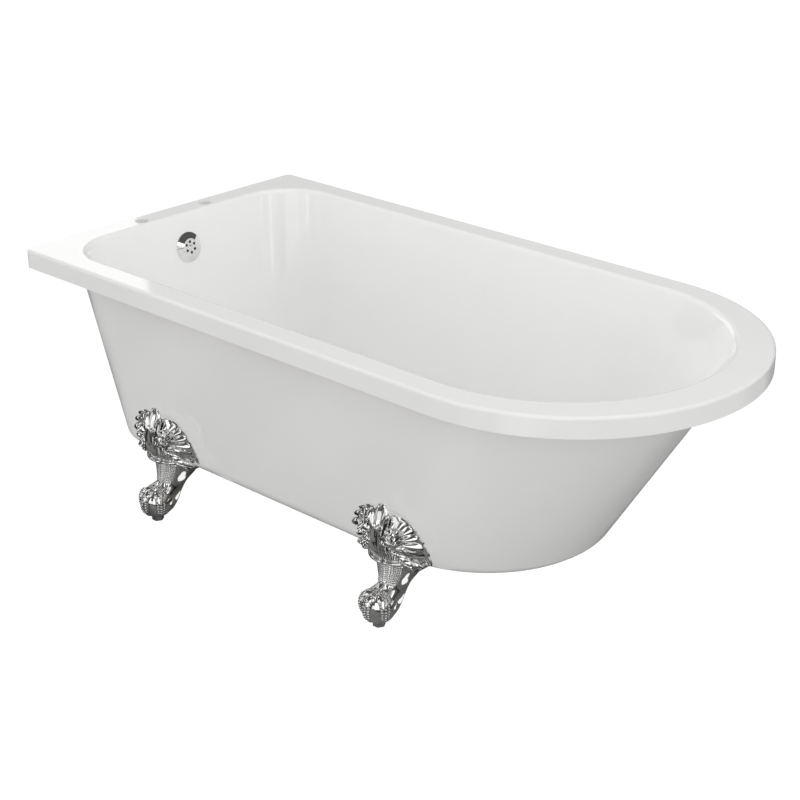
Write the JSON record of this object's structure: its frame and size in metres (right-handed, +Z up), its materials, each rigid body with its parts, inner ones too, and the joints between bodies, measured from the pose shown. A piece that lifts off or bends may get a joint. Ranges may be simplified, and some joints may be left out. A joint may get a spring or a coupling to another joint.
{
  "type": "back-to-wall bathtub",
  "caption": "Freestanding back-to-wall acrylic bath with a square tap end, a rounded backrest end, a tapered skirt on ornate claw feet, an overflow and a click waste.",
  "frame": {"origin": "on the floor under the middle of the rim's overall box", "axes": "+X along the bath towards its round end, +Y towards the wall, +Z up"},
  "size_m": [1.5, 0.75, 0.545],
  "materials": {
    "acrylic": "high gloss white",
    "board": "raw board",
    "timber": "planed",
    "chrome": "polished plating",
    "steel": "zinc plated",
    "brass": "turned",
    "rubber": "matt black",
    "plastic": "moulded white"
  },
  "bodies": {
    "bath": {"inner_shell": "acrylic", "outer_skirt": "acrylic", "base_board": "board", "rim_batten_front": "timber", "rim_batten_back": "timber", "claw_foot_front_tap": "chrome", "claw_foot_front_round": "chrome", "claw_foot_back_tap": "chrome", "claw_foot_back_round": "chrome", "overflow_faceplate": "chrome", "overflow_screw": "chrome", "waste_flange": "chrome", "foot_bolts": "steel", "foot_washers": "steel", "plug_spring": "steel", "board_inserts": "brass", "overflow_gasket": "rubber", "waste_top_gasket": "rubber", "waste_bottom_gasket": "rubber", "overflow_elbow": "plastic", "overflow_pipe": "plastic", "overflow_nut_upper": "plastic", "overflow_nut_lower": "plastic", "waste_body": "plastic", "plug_cartridge": "plastic"},
    "plug": {"plug_cap": "chrome", "plug_seal": "rubber", "plug_stem": "brass"},
    "level_front_tap": {"levelling_bolt_front_tap": "steel"},
    "level_front_round": {"levelling_bolt_front_round": "steel"},
    "level_back_tap": {"levelling_bolt_back_tap": "steel"},
    "level_back_round": {"levelling_bolt_back_round": "steel"}
  },
  "joints": [
    {"name": "plug_press", "type": "slide", "parent": "bath", "child": "plug", "axis": [0, 0, 1], "range_m": [-0.008, 0], "stiffness_N_per_m": 300, "springref_m": 0.01, "deforming": ["plug_spring"]},
    {"name": "level_front_tap_screw", "type": "slide", "parent": "bath", "child": "level_front_tap", "axis": [0, 0, -1], "range_m": [0, 0.012]},
    {"name": "level_front_round_screw", "type": "slide", "parent": "bath", "child": "level_front_round", "axis": [0, 0, -1], "range_m": [0, 0.012]},
    {"name": "level_back_tap_screw", "type": "slide", "parent": "bath", "child": "level_back_tap", "axis": [0, 0, -1], "range_m": [0, 0.012]},
    {"name": "level_back_round_screw", "type": "slide", "parent": "bath", "child": "level_back_round", "axis": [0, 0, -1], "range_m": [0, 0.012]}
  ]
}
